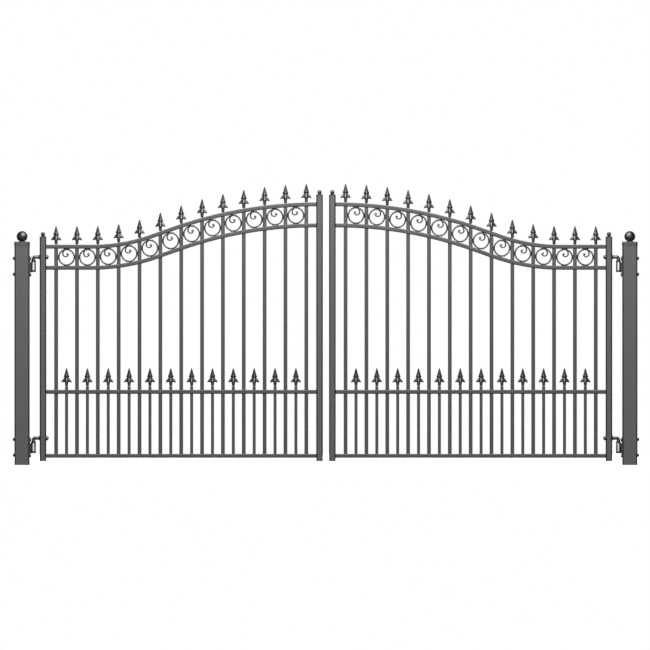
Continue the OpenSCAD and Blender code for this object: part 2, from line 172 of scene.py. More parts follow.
class GatePaint(bpy.types.PropertyGroup):
    """Colours of the finishes."""

    coat: FloatVectorProperty(
        name="Powder coat", description="Colour of the powder-coated steelwork", subtype="COLOR",
        size=3, default=(0.124, 0.124, 0.126))
    casting: FloatVectorProperty(
        name="Castings", description="Colour of the painted rings and scrolls", subtype="COLOR",
        size=3, default=(0.014, 0.014, 0.015))
    enamel: FloatVectorProperty(
        name="Enamel", description="Colour of the balls and the stile caps", subtype="COLOR",
        size=3, default=(0.012, 0.012, 0.013))
    hardware: FloatVectorProperty(
        name="Hardware", description="Colour of the painted bolts, nuts and rods",
        subtype="COLOR", size=3, default=(0.018, 0.018, 0.019))
    steel: FloatVectorProperty(
        name="Bright steel", description="Colour of the bare hinge barrels", subtype="COLOR",
        size=3, default=(0.54, 0.54, 0.55))


class GateStage(bpy.types.PropertyGroup):
    """Camera, light and floor."""

    distance: FloatProperty(
        name="Camera distance", description="How far the camera stands from the gate",
        default=80.0, unit="LENGTH")
    eye_height: FloatProperty(
        name="Eye height", description="Height of the camera", default=0.9475, unit="LENGTH")
    off_middle: FloatProperty(
        name="Off middle", description="How far left of the gate's middle the camera stands",
        default=6.4 * MM, unit="LENGTH")
    picture_width: FloatProperty(
        name="Picture width", description="Width of what the camera takes in at the gate",
        default=4.40, unit="LENGTH")
    front_light: FloatProperty(
        name="Front light", description="Brightness of the surroundings in front",
        default=2.1, min=0.0, max=5.0)
    side_light: FloatProperty(
        name="Side light", description="Brightness of the surroundings beside and above",
        default=0.12, min=0.0, max=5.0)
    focus: FloatProperty(
        name="Focus", description="How fast the surroundings dim from the front to the sides",
        default=5.0, min=1.0, max=20.0)
    back_share: FloatProperty(
        name="Back share", description="Brightness behind the gate as a share of that in front",
        default=0.1, min=0.0, max=1.0)
    highlight: FloatProperty(
        name="Highlight", description="Power of the lamp above the middle, seen only in gloss",
        default=620.0, unit="POWER")
    back_fill: FloatProperty(
        name="Back fill", description="Power of the soft light on the gate's inner side",
        default=260.0, unit="POWER")


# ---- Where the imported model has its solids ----


def solids(node):
    """The box of each separate solid of a CAD node, from left to right and from low to high."""
    bm = bmesh.new()
    bm.from_mesh(frame["nodes"][node].data)
    bmesh.ops.remove_doubles(bm, verts=bm.verts, dist=0.01 * MM)
    boxes, seen = [], set()
    for first in bm.verts:
        if first in seen:
            continue
        seen.add(first)
        island, waiting = [], [first]
        while waiting:
            vert = waiting.pop()
            island.append(vert.co.copy())
            for edge in vert.link_edges:
                other = edge.other_vert(vert)
                if other not in seen:
                    seen.add(other)
                    waiting.append(other)
        boxes.append((Vector(map(min, *island)), Vector(map(max, *island))))
    bm.free()
    return sorted(boxes, key=lambda box: (round(box[0].x, 4), box[0].z))


def middle(box):
    return (box[0] + box[1]) / 2


# ---- Shaping ----


def faces_of(made):
    return [g for g in made if isinstance(g, bmesh.types.BMFace)]


def verts_of(made):
    return [g for g in made if isinstance(g, bmesh.types.BMVert)]


def soften(bm, edges, radius, segments=4):
    """Rounds edges to a radius."""
    return bmesh.ops.bevel(
        bm, geom=edges, offset=radius, offset_type="OFFSET", segments=segments,
        profile=0.5, affect="EDGES", clamp_overlap=True, material=-1)


def block(bm, low, high):
    """A plain box between two corners; returns its vertices."""
    verts = bmesh.ops.create_cube(bm, size=1)["verts"]
    bmesh.ops.scale(bm, vec=high - low, verts=verts)
    bmesh.ops.translate(bm, vec=(low + high) / 2, verts=verts)
    return verts


def edges_along(verts, axis):
    edges = {edge for vert in verts for edge in vert.link_edges}
    return [e for e in edges
            if abs((e.verts[1].co - e.verts[0].co).normalized().dot(axis)) > 0.999]


def tube(bm, low, high, axis, corner, segments=5):
    """A square bar between two corners with its four long edges rounded."""
    verts = block(bm, low, high)
    soften(bm, edges_along(verts, axis), corner, segments)


def hollow_end(bm, towards, at, wall, depth):
    """Opens the flat end of a bar into a pocket with a wall round it."""
    ends = [f for f in bm.faces
            if f.normal.dot(towards) > 0.99 and abs((f.calc_center_median() - at).dot(towards)) < MM]
    for end in ends:
        bmesh.ops.inset_region(bm, faces=[end], thickness=wall, use_even_offset=True)
        pull(bm, end, -depth * towards)


def section(bm, at, width, height, corner, along=X, segments=4):
    """A flat cross-section with rounded corners, square to a direction, ready to be pulled along."""
    made = bmesh.ops.create_grid(bm, x_segments=1, y_segments=1, size=0.5)["verts"]
    bmesh.ops.scale(bm, vec=(height, width, 1), verts=made)
    bmesh.ops.rotate(bm, cent=(0, 0, 0), matrix=Matrix.Rotation(math.radians(90), 3, "Y"), verts=made)
    turn = X.rotation_difference(along).to_matrix()
    bmesh.ops.rotate(bm, cent=(0, 0, 0), matrix=turn, verts=made)
    bmesh.ops.translate(bm, vec=at, verts=made)
    bmesh.ops.bevel(bm, geom=made, offset=corner, offset_type="OFFSET", segments=segments,
                    profile=0.5, affect="VERTICES", clamp_overlap=True, material=-1)
    bm.faces.ensure_lookup_table()
    return bm.faces[-1]


def disc(bm, at, radius, along, sides):
    """A round cross-section, ready to be pulled along."""
    made = bmesh.ops.create_circle(bm, cap_ends=True, radius=radius, segments=sides)["verts"]
    bmesh.ops.rotate(bm, cent=(0, 0, 0), matrix=Z.rotation_difference(along).to_matrix(), verts=made)
    bmesh.ops.translate(bm, vec=at, verts=made)
    return made[0].link_faces[0]


def onwards(bm, face):
    """Extrudes a cross-section, or the end of a bar, and returns the new end."""
    made = bmesh.ops.extrude_face_region(bm, geom=[face, *face.edges, *face.verts])
    return faces_of(made["geom"])[0]


def scaled(bm, face, scale):
    """Scales the end of a bar about its middle."""
    middle_to_origin = Matrix.Translation(-face.calc_center_median())
    bmesh.ops.scale(bm, vec=(scale, scale, scale), space=middle_to_origin, verts=face.verts)


def pull(bm, face, step, scale=1.0):
    """Carries a cross-section one step on, and returns the new end."""
    end = onwards(bm, face)
    bmesh.ops.translate(bm, vec=step, verts=end.verts)
    scaled(bm, end, scale)
    return end


def bend(bm, face, centre, axis, angle, steps, scale=1.0):
    """Carries a cross-section round a centre in steps, and returns the new end."""
    turn = Matrix.Rotation(angle / steps, 3, axis)
    for _ in range(steps):
        face = onwards(bm, face)
        bmesh.ops.rotate(bm, cent=centre, matrix=turn, verts=face.verts)
        scaled(bm, face, scale ** (1 / steps))
    return face


def turned(bm, outline, centre, axis, sides):
    """Turns an outline of (radius, height) points on a lathe about an axis through centre."""
    verts = [bm.verts.new((radius, 0, height)) for radius, height in outline]
    edges = [bm.edges.new(pair) for pair in zip(verts, verts[1:])]
    made = bmesh.ops.spin(bm, geom=verts + edges, cent=(0, 0, 0), axis=Z, dvec=(0, 0, 0),
                          angle=math.tau, steps=sides, use_merge=True, use_duplicate=False)
    shell = {v for g in made["geom_last"] for v in getattr(g, "verts", [g])}
    shell = linked(shell | set(verts))
    bmesh.ops.remove_doubles(bm, verts=shell, dist=0.005 * MM)
    shell = [v for v in shell if v.is_valid]
    bmesh.ops.rotate(bm, cent=(0, 0, 0), matrix=Z.rotation_difference(axis).to_matrix(), verts=shell)
    bmesh.ops.translate(bm, vec=centre, verts=shell)


def linked(verts):
    """All vertices that hang together with these."""
    found, waiting = set(verts), list(verts)
    while waiting:
        for edge in waiting.pop().link_edges:
            for other in edge.verts:
                if other not in found:
                    found.add(other)
                    waiting.append(other)
    return list(found)


def arc(x, z, radius, start, end, steps):
    """Points of an outline's round stretch; angles in degrees, 0 outwards and 90 up."""
    angles = [math.radians(start + (end - start) * i / steps) for i in range(steps + 1)]
    return [(max(x + radius * math.cos(a), 0), z + radius * math.sin(a)) for a in angles]


def bead(bm, start, end, radius):
    """A weld bead: a thin bar whose ripples are a little over its radius apart."""
    run = end - start
    ripples = max(int(run.length / (1.4 * radius)), 3)
    face = disc(bm, start, radius * 0.6, run.normalized(), 8)
    for i in range(2 * ripples):
        face = pull(bm, face, run / (2 * ripples), 1 / 0.72 if i % 2 == 0 else 0.72)


def repeat(bm, places):
    """Copies everything drawn so far, round the origin, to each place."""
    one = bm.verts[:] + bm.edges[:] + bm.faces[:]
    for place in places[1:]:
        copy = bmesh.ops.duplicate(bm, geom=one)["geom"]
        bmesh.ops.translate(bm, vec=place, verts=verts_of(copy))
    bmesh.ops.translate(bm, vec=places[0], verts=verts_of(one))


# ---- Putting pieces in the scene ----


def add_piece(bm, name, body, finishes, replaced, smooth=SMOOTH_ANGLE):
    """Makes a piece of a shape, gives it its finishes and lets it ride on a body."""
    mesh = bpy.data.meshes.new(name)
    bm.to_mesh(mesh)
    piece = bpy.data.objects.new(name, mesh)
    bpy.context.scene.collection.objects.link(piece)
    for finish in finishes:
        mesh.materials.append(bpy.data.materials[finish])
    mesh.shade_smooth()
    mesh.set_sharp_from_angle(angle=smooth)
    normals = piece.modifiers.new("Even normals", "WEIGHTED_NORMAL")
    normals.keep_sharp = True
    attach(piece, body)
    if replaced:
        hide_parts(*replaced)
    return piece


def add_pair(bm, name, on_leaf, finishes, replaced=(), smooth=SMOOTH_ANGLE):
    """Adds the shape as the left piece, and its mirror image as the right one."""
    bmesh.ops.recalc_face_normals(bm, faces=bm.faces)
    for side in ("left", "right"):
        if side == "right":
            bmesh.ops.scale(bm, vec=(-1, 1, 1), verts=bm.verts,
                            space=Matrix.Translation(-GATE_MIDDLE * X))
            bmesh.ops.reverse_faces(bm, faces=bm.faces)
        add_piece(bm, f"{side}_{name}", f"{side}_leaf" if on_leaf else "posts", finishes,
                  [f"{side}_{node}" for node in replaced], smooth)
    bm.free()


# ---- Finishes ----


def add_node(tree, kind, settings=(), **values):
    """A node with its settings and the values of its inputs, in order of their names."""
    node = tree.nodes.new(kind)
    for name, value in dict(settings).items():
        setattr(node, name, value)
    for name, value in values.items():
        node.inputs[name.replace("_", " ")].default_value = value
    return node


def new_group(name, inputs, outputs):
    """A shader node group with named inputs and outputs."""
    group = bpy.data.node_groups.new(name, "ShaderNodeTree")
    for label, kind, value in inputs:
        socket = group.interface.new_socket(label, in_out="INPUT", socket_type=kind)
        if value is not None:
            socket.default_value = value
    for label, kind in outputs:
        group.interface.new_socket(label, in_out="OUTPUT", socket_type=kind)
    return group, group.nodes.new("NodeGroupInput"), group.nodes.new("NodeGroupOutput")


def make_coat_group():
    """Sprayed coat: fine orange peel, and slow changes of tone and sheen over the piece."""
    group, given, out = new_group(
        "Sprayed coat",
        [("Vector", "NodeSocketVector", None), ("Peel scale", "NodeSocketFloat", 700.0),
         ("Patch scale", "NodeSocketFloat", 5.0)],
        [("Height", "NodeSocketFloat"), ("Tone", "NodeSocketFloat"), ("Sheen", "NodeSocketFloat")])
    link = group.links.new
    peel = add_node(group, "ShaderNodeTexNoise", Detail=2.0, Roughness=0.6)
    patches = add_node(group, "ShaderNodeTexNoise", Detail=4.0, Roughness=0.65)
    streaks = add_node(group, "ShaderNodeTexNoise", Scale=60.0, Detail=3.0)
    link(given.outputs["Vector"], peel.inputs["Vector"])
    link(given.outputs["Peel scale"], peel.inputs["Scale"])
    link(given.outputs["Vector"], patches.inputs["Vector"])
    link(given.outputs["Patch scale"], patches.inputs["Scale"])
    link(given.outputs["Vector"], streaks.inputs["Vector"])
    both = add_node(group, "ShaderNodeMath", {"operation": "MULTIPLY_ADD"})
    both.inputs[1].default_value = 0.3
    link(streaks.outputs["Fac"], both.inputs[0])
    link(patches.outputs["Fac"], both.inputs[2])
    link(peel.outputs["Fac"], out.inputs["Height"])
    link(patches.outputs["Fac"], out.inputs["Tone"])
    link(both.outputs[0], out.inputs["Sheen"])


def make_painted_corner_shade_group():
    """Painted shade on a bar's rounded corners: 1 where the surface turns from facing along Y to facing
    across it, where less light falls.
    """
    group, given, out = new_group(
        "Painted corner shade", [("Normal", "NodeSocketVector", None)], [("Corner shade", "NodeSocketFloat")])
    link = group.links.new
    parts = add_node(group, "ShaderNodeSeparateXYZ")
    along = add_node(group, "ShaderNodeMath", {"operation": "MULTIPLY"})
    across = add_node(group, "ShaderNodeMath", {"operation": "SUBTRACT"})
    across.inputs[0].default_value = 1.0
    both = add_node(group, "ShaderNodeMath", {"operation": "MULTIPLY"})
    root = add_node(group, "ShaderNodeMath", {"operation": "SQRT"})
    mask = add_node(group, "ShaderNodeMapRange", {"interpolation_type": "SMOOTHSTEP"},
                    From_Min=0.05, From_Max=0.22)
    link(given.outputs["Normal"], parts.inputs[0])
    link(parts.outputs["Y"], along.inputs[0])
    link(parts.outputs["Y"], along.inputs[1])
    link(along.outputs[0], across.inputs[1])
    link(along.outputs[0], both.inputs[0])
    link(across.outputs[0], both.inputs[1])
    link(both.outputs[0], root.inputs[0])
    link(root.outputs[0], mask.inputs["Value"])
    link(mask.outputs["Result"], out.inputs["Corner shade"])


def make_dust_group():
    """Settled dust: most on what faces up, broken up by a cloudy pattern."""
    group, given, out = new_group(
        "Settled dust",
        [("Vector", "NodeSocketVector", None), ("Normal", "NodeSocketVector", None),
         ("Amount", "NodeSocketFloat", 0.3)],
        [("Dust", "NodeSocketFloat")])
    link = group.links.new
    clouds = add_node(group, "ShaderNodeTexNoise", Scale=38.0, Detail=6.0, Roughness=0.7)
    parts = add_node(group, "ShaderNodeSeparateXYZ")
    upward = add_node(group, "ShaderNodeMapRange", From_Min=0.55, From_Max=0.98)
    cloudy = add_node(group, "ShaderNodeMapRange", From_Min=0.35, From_Max=0.7)
    both = add_node(group, "ShaderNodeMath", {"operation": "MULTIPLY"})
    share = add_node(group, "ShaderNodeMath", {"operation": "MULTIPLY"})
    link(given.outputs["Vector"], clouds.inputs["Vector"])
    link(given.outputs["Normal"], parts.inputs[0])
    link(parts.outputs["Z"], upward.inputs["Value"])
    link(clouds.outputs["Fac"], cloudy.inputs["Value"])
    link(upward.outputs["Result"], both.inputs[0])
    link(cloudy.outputs["Result"], both.inputs[1])
    link(both.outputs[0], share.inputs[0])
    link(given.outputs["Amount"], share.inputs[1])
    link(share.outputs[0], out.inputs["Dust"])


def make_lathe_group():
    """Turned steel: fine rings round the Z axis."""
    group, given, out = new_group(
        "Lathe marks", [("Vector", "NodeSocketVector", None), ("Pitch", "NodeSocketFloat", 1.1 * MM)],
        [("Height", "NodeSocketFloat")])
    link = group.links.new
    parts = add_node(group, "ShaderNodeSeparateXYZ")
    turns = add_node(group, "ShaderNodeMath", {"operation": "DIVIDE"})
    marks = add_node(group, "ShaderNodeTexNoise", {"noise_dimensions": "1D"}, Scale=1.0, Detail=3.0)
    link(given.outputs["Vector"], parts.inputs[0])
    link(parts.outputs["Z"], turns.inputs[0])
    link(given.outputs["Pitch"], turns.inputs[1])
    link(turns.outputs[0], marks.inputs["W"])
    link(marks.outputs["Fac"], out.inputs["Height"])


def blend_colour(tree, fac, low, high):
    """A colour between two, each a colour or the output of a node; returns the node's output."""
    mix = add_node(tree, "ShaderNodeMix", {"data_type": "RGBA"})
    tree.links.new(fac, mix.inputs[0])
    for socket, colour in ((mix.inputs[6], low), (mix.inputs[7], high)):
        if isinstance(colour, bpy.types.NodeSocket):
            tree.links.new(colour, socket)
        else:
            socket.default_value = (*colour, 1)
    return mix.outputs[2]


def shade(colour, factor):
    return [channel * factor for channel in colour]


def make_finish(name, colour, roughness, metallic=0.0, peel=700.0, bump=0.25, depth=0.15 * MM,
                spread=0.10, corner=None, dust=0.02, coat=0.0, turned_marks=False):
    """A paint or a bare metal whose colour and sheen vary slowly; corner darkens a bar's corners with
    painted shade, keeping that share of the colour.
    """
    material = bpy.data.materials.new(name)
    material.use_nodes = True
    tree = material.node_tree
    link = tree.links.new
    shader = tree.nodes["Principled BSDF"]
    shader.inputs["Metallic"].default_value = metallic
    shader.inputs["IOR"].default_value = 1.5
    shader.inputs["Coat Weight"].default_value = coat
    shader.inputs["Coat Roughness"].default_value = 0.12
    place = add_node(tree, "ShaderNodeTexCoord")
    sprayed = add_node(tree, "ShaderNodeGroup", {"node_tree": bpy.data.node_groups["Sprayed coat"]},
                       Peel_scale=peel)
    link(place.outputs["Object"], sprayed.inputs["Vector"])
    tone = blend_colour(tree, sprayed.outputs["Tone"], shade(colour, 1 - spread),
                        shade(colour, 1 + spread))
    # Painted shade: the colour darkens on a bar's rounded corners, where the surface turns away from
    # facing along Y.
    if corner:
        corners = add_node(tree, "ShaderNodeGroup", {"node_tree": bpy.data.node_groups["Painted corner shade"]})
        link(place.outputs["Normal"], corners.inputs["Normal"])
        tone = blend_colour(tree, corners.outputs["Corner shade"], tone, shade(colour, corner))
    settled = add_node(tree, "ShaderNodeGroup", {"node_tree": bpy.data.node_groups["Settled dust"]},
                       Amount=dust)
    link(place.outputs["Object"], settled.inputs["Vector"])
    link(place.outputs["Normal"], settled.inputs["Normal"])
    tone = blend_colour(tree, settled.outputs["Dust"], tone, (0.30, 0.29, 0.27))
    link(tone, shader.inputs["Base Color"])
    sheen = add_node(tree, "ShaderNodeMapRange", From_Min=0.3, From_Max=1.1,
                     To_Min=roughness - 0.06, To_Max=roughness + 0.10)
    link(sprayed.outputs["Sheen"], sheen.inputs["Value"])
    duller = add_node(tree, "ShaderNodeMath", {"operation": "MULTIPLY_ADD"})
    duller.inputs[1].default_value = 0.5
    link(settled.outputs["Dust"], duller.inputs[0])
    link(sheen.outputs["Result"], duller.inputs[2])
    link(duller.outputs[0], shader.inputs["Roughness"])
    relief = add_node(tree, "ShaderNodeBump", Strength=bump, Distance=depth)
    link(sprayed.outputs["Height"], relief.inputs["Height"])
    if turned_marks:
        rings = add_node(tree, "ShaderNodeGroup", {"node_tree": bpy.data.node_groups["Lathe marks"]})
        link(place.outputs["Object"], rings.inputs["Vector"])
        link(rings.outputs["Height"], relief.inputs["Height"])
    link(relief.outputs["Normal"], shader.inputs["Normal"])


class GATE_OT_finishes(bpy.types.Operator):
    """Make the paints and the bright steel"""

    bl_idname = "gate.finishes"
    bl_label = "Finishes"

    def execute(self, context):
        paint = context.scene.gate_paint
        make_coat_group()
        make_painted_corner_shade_group()
        make_dust_group()
        make_lathe_group()
        # corner= is the share of the colour kept in the painted shade on each bar's rounded corners.
        make_finish("Post powder coat", paint.coat, 0.42, corner=0.10)
        make_finish("Cap powder coat", shade(paint.coat, 0.58), 0.42, corner=0.10)
        make_finish("Frame powder coat", paint.coat, 0.42, corner=0.06)
        make_finish("Bar powder coat", shade(paint.coat, 0.64), 0.44, corner=0.12)
        make_finish("Painted casting", paint.casting, 0.30, peel=420.0, bump=0.5, depth=0.4 * MM,
                    coat=0.4)
        make_finish("Cast points", shade(paint.casting, 3.0), 0.40, peel=420.0, bump=0.4,
                    depth=0.3 * MM, coat=0.15)
        make_finish("Gloss enamel", paint.enamel, 0.40, peel=300.0, bump=0.06, coat=0.15, dust=0.05)
        make_finish("Hardware enamel", paint.hardware, 0.34, peel=500.0, bump=0.2, coat=0.4)
        make_finish("Bright steel", paint.steel, 0.24, metallic=1.0, bump=0.25, depth=0.05 * MM,
                    dust=0.04, turned_marks=True)
        return {"FINISHED"}


# ---- Posts ----


class GATE_OT_posts(bpy.types.Operator):
    """Build the square posts and their caps"""

    bl_idname = "gate.posts"
    bl_label = "Posts and caps"

    def execute(self, context):
        steel = context.scene.gate_steel
        bm = bmesh.new()
        tube(bm, *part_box("left_post"), Z, steel.post_corner)
        add_pair(bm, "post_tube", False, ["Post powder coat"], ["post"])

        low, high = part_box("left_post_cap")
        fit, rounding = 0.2 * MM, 3.5 * MM
        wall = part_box("left_post")[0].x - low.x - fit
        bm = bmesh.new()
        tube(bm, low, high, Z, steel.post_corner + wall)
        top = [e for e in bm.edges if all(v.co.z > high.z - MM for v in e.verts)]
        soften(bm, top, rounding)
        bm.normal_update()
        hollow_end(bm, -Z, low, wall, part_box("left_post")[1].z - low.z)
        add_pair(bm, "post_lid", False, ["Cap powder coat"], ["post_cap"])
        return {"FINISHED"}


class GATE_OT_post_balls(bpy.types.Operator):
    """Turn the balls on the posts, each with its flared neck"""

    bl_idname = "gate.post_balls"
    bl_label = "Post balls"

    def execute(self, context):
        radius = context.scene.gate_castings.ball / 2
        sides, step, flare = 64, 1.5 * MM, 9 * MM
        low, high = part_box("left_post_ball")
        height = high.z - low.z
        centre = height - radius
        foot = 0.70 * radius
        outline = [(0, 0), (foot, 0), (foot, step)]
        outline += arc(foot + 1 * MM, step + flare, flare, 262, 190, 8)
        outline += arc(0, centre, radius, -46, 90, 30)
        bm = bmesh.new()
        turned(bm, outline, Vector((0, 0, low.z)), Z, sides)
        add_pair(bm, "post_finial", False, ["Gloss enamel"], ["post_ball"])
        return {"FINISHED"}


# ---- Leaf frame ----


def sweep_of(steel, node):
    """The bends of a curved rail: start, end, heights, radii and the angle of its slope."""
    low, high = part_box(node)
    top_low, top_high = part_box("left_top_rail")
    rail_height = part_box("left_bottom_rail")[1].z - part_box("left_bottom_rail")[0].z
    rise = (top_high.z - top_low.z) - rail_height
    run = (top_high.x - top_low.x) - steel.level_run
    both = (run ** 2 + rise ** 2 - steel.slope_run ** 2) / (2 * rise)
    angle = math.atan2(run, both - rise) - math.atan2(steel.slope_run, both)
    drop = top_low.z - low.z
    return {
        "start": low.x, "level": steel.level_run, "z": low.z + rail_height / 2,
        "height": rail_height, "depth": high.y - low.y, "angle": angle,
        "lower": steel.lower_bend + drop, "upper": both - steel.lower_bend - drop,
        "slope": steel.slope_run,
    }


def curved_rail(bm, steel, node):
    """Level, bend up, slope, bend back to level: the section is carried along all four."""
    way = sweep_of(steel, node)
    face = section(bm, Vector((way["start"], 0, way["z"])), way["depth"], way["height"],
                   steel.rail_corner)
    face = pull(bm, face, way["level"] * X)
    at = Vector((way["start"] + way["level"], 0, way["z"]))
    face = bend(bm, face, at + way["lower"] * Z, Y, -way["angle"], 24)
    slope = Vector((math.cos(way["angle"]), 0, math.sin(way["angle"])))
    face = pull(bm, face, way["slope"] * slope)
    square = Vector((slope.z, 0, -slope.x))
    end = face.calc_center_median()
    bend(bm, face, end + way["upper"] * square, Y, way["angle"], 48)


def end_welds(bm, steel, node):
    """Beads between both ends of a rail and the stiles, front and back."""
    low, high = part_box(node)
    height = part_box("left_bottom_rail")[1].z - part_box("left_bottom_rail")[0].z
    inset = 3 * MM
    for x, foot in ((low.x, low.z), (high.x, high.z - height)):
        for y in (low.y, high.y):
            at = Vector((x, y, foot + inset))
            bead(bm, at, at + (height - 2 * inset) * Z, steel.weld)


class GATE_OT_leaf_frames(bpy.types.Operator):
    """Build the stiles and the four rails of each leaf"""

    bl_idname = "gate.leaf_frames"
    bl_label = "Leaf frames"

    def execute(self, context):
        steel = context.scene.gate_steel
        pocket = 120 * MM
        for stile in ("hinge_stile", "meeting_stile"):
            bm = bmesh.new()
            low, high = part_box(f"left_{stile}")
            tube(bm, low, high, Z, steel.stile_corner)
            bm.normal_update()
            hollow_end(bm, -Z, low, steel.stile_wall, pocket)
            add_pair(bm, f"{stile}_tube", True, ["Frame powder coat"], [stile])
        for rail in ("bottom_rail", "mid_rail"):
            bm = bmesh.new()
            tube(bm, *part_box(f"left_{rail}"), X, steel.rail_corner)
            end_welds(bm, steel, f"left_{rail}")
            add_pair(bm, f"{rail}_bar", True, ["Bar powder coat"], [rail])
        for rail in ("arch_rail", "top_rail"):
            bm = bmesh.new()
            curved_rail(bm, steel, f"left_{rail}")
            end_welds(bm, steel, f"left_{rail}")
            add_pair(bm, f"{rail}_bar", True, ["Bar powder coat"], [rail])
        return {"FINISHED"}


class GATE_OT_pickets(bpy.types.Operator):
    """Build the full-height pickets and the short ones between them"""

    bl_idname = "gate.pickets"
    bl_label = "Pickets"

    def execute(self, context):
        steel = context.scene.gate_steel
        inset = 2 * MM
        for node, name, share in (("pickets", "picket_bars", 1.0),
                                  ("short_pickets", "short_picket_bars", 0.8)):
            bm = bmesh.new()
            for low, high in solids(f"left_{node}"):
                tube(bm, low, high, Z, share * steel.picket_corner, 4)
                for y in (low.y, high.y):
                    bead(bm, Vector((low.x + inset, y, low.z)), Vector((high.x - inset, y, low.z)),
                         steel.weld)
            add_pair(bm, name, True, ["Bar powder coat"], [node])
        return {"FINISHED"}


class GATE_OT_stile_caps(bpy.types.Operator):
    """Build the stile caps: a plate, a low pyramid and a small ball"""

    bl_idname = "gate.stile_caps"
    bl_label = "Stile caps"

    def execute(self, context):
        steel, cast = context.scene.gate_steel, context.scene.gate_castings
        inset = 1 * MM
        bm = bmesh.new()
        for low, high in solids("left_stile_caps"):
            half = (high.x - low.x) / 2
            plate_top = low.z + steel.cap_plate
            tube(bm, low, Vector((high.x, high.y, plate_top)), Z, steel.rail_corner / 2)
            centre = middle((low, high))
            self.pyramid(bm, Vector((centre.x, centre.y, plate_top)), half - inset, steel.cap_peak)
            self.ball(bm, Vector((centre.x, centre.y, low.z)), cast.stile_ball / 2, high.z - low.z)
        add_pair(bm, "stile_finials", True, ["Gloss enamel"], ["stile_caps"])
        return {"FINISHED"}

    @staticmethod
    def pyramid(bm, foot, half, peak):
        """Four low slopes up to a small flat top."""
        top_share, rounding = 0.3, 1.2 * MM
        verts = bmesh.ops.create_cone(
            bm, cap_ends=True, segments=4, radius1=half * math.sqrt(2),
            radius2=top_share * half * math.sqrt(2), depth=peak)["verts"]
        bmesh.ops.rotate(bm, cent=(0, 0, 0), matrix=Matrix.Rotation(math.radians(45), 3, "Z"), verts=verts)
        bmesh.ops.translate(bm, vec=foot + peak / 2 * Z, verts=verts)
        slopes = [e for e in {e for v in verts for e in v.link_edges}
                  if abs(e.verts[0].co.z - e.verts[1].co.z) > peak / 2]
        soften(bm, slopes, rounding, 3)

    @staticmethod
    def ball(bm, foot, radius, height):
        """A ball on a short flared collar."""
        collar = 0.6 * radius
        outline = [(collar + 3 * MM, 2 * MM), (collar + 2.6 * MM, 5 * MM), (collar, 7 * MM)]
        outline += arc(0, height - radius, radius, -46, 90, 20)
        turned(bm, [(0, 2 * MM)] + outline, foot, Z, 40)


# ---- Castings ----


class GATE_OT_ring_scrolls(bpy.types.Operator):
    """Build the rings between the curved rails, each with its scroll"""

    bl_idname = "gate.ring_scrolls"
    bl_label = "Rings and scrolls"

    def execute(self, context):
        cast = context.scene.gate_castings
        boxes = solids("left_ring_scrolls")
        radius = (boxes[0][1].x - boxes[0][0].x) / 2
        depth = boxes[0][1].y - boxes[0][0].y
        thinner = 0.8 * MM
        bm = bmesh.new()
        self.ring(bm, radius, cast.ring_bar, depth)
        self.scroll(bm, radius, cast, depth - thinner)
        self.welds(bm, radius, 1.5 * context.scene.gate_steel.weld)
        repeat(bm, [middle(box) for box in boxes])
        add_pair(bm, "scrolled_rings", True, ["Painted casting"], ["ring_scrolls"])
        return {"FINISHED"}

    @staticmethod
    def ring(bm, radius, bar, depth):
        """A bar with rounded corners, carried once round Y."""
        corner = 3.2 * MM
        face = section(bm, Vector((0, 0, radius - bar / 2)), depth, bar, corner)
        geometry = list(face.verts) + list(face.edges)
        bmesh.ops.delete(bm, geom=[face], context="FACES_ONLY")
        bmesh.ops.spin(bm, geom=geometry, cent=(0, 0, 0), axis=Y, dvec=(0, 0, 0), angle=math.tau,
                       steps=56, use_merge=True, use_duplicate=False)
        bmesh.ops.remove_doubles(bm, verts=bm.verts, dist=0.01 * MM)

    @staticmethod
    def welds(bm, radius, bead_radius):
        """Beads where the ring meets the rails and the pickets."""
        out = radius - 0.6 * bead_radius
        on_rail, on_picket = 20 * MM * X, 14 * MM * Z
        for way in (-1, 1):
            bead(bm, way * out * Z - on_rail, way * out * Z + on_rail, bead_radius)
            bead(bm, way * out * X - on_picket, way * out * X + on_picket, bead_radius)

    @staticmethod
    def scroll(bm, radius, cast, depth):
        """A wide arc down from the ring's top, a narrow one under and up, and a curl into the blob."""
        wide, narrow = 0.583 * radius, 0.33 * radius
        wide_at = Vector((0.148 * radius, 0, 0.40 * radius))
        narrow_at = wide_at + (narrow - wide) * X
        blob_at = Vector((0.087 * radius, 0, 0.365 * radius))
        start = math.radians(121)
        spoke = Vector((math.cos(start), 0, math.sin(start)))
        tangent = Vector((-spoke.z, 0, spoke.x))
        corner = 3 * MM
        face = section(bm, wide_at + wide * spoke, depth, cast.scroll_bar, corner, tangent)
        face = bend(bm, face, wide_at, Y, start - math.pi, 10)
        face = bend(bm, face, narrow_at, Y, -math.radians(160), 22, cast.scroll_thin)
        bend(bm, face, blob_at, Y, -math.radians(75), 8, 0.3)
        blob = bmesh.ops.create_uvsphere(
            bm, u_segments=18, v_segments=10, radius=cast.blob / 2,
            matrix=Matrix.Rotation(math.radians(90), 4, "X"))["verts"]
        bmesh.ops.scale(bm, vec=(1, depth / cast.blob, 1), verts=blob)
        bmesh.ops.translate(bm, vec=blob_at, verts=blob)


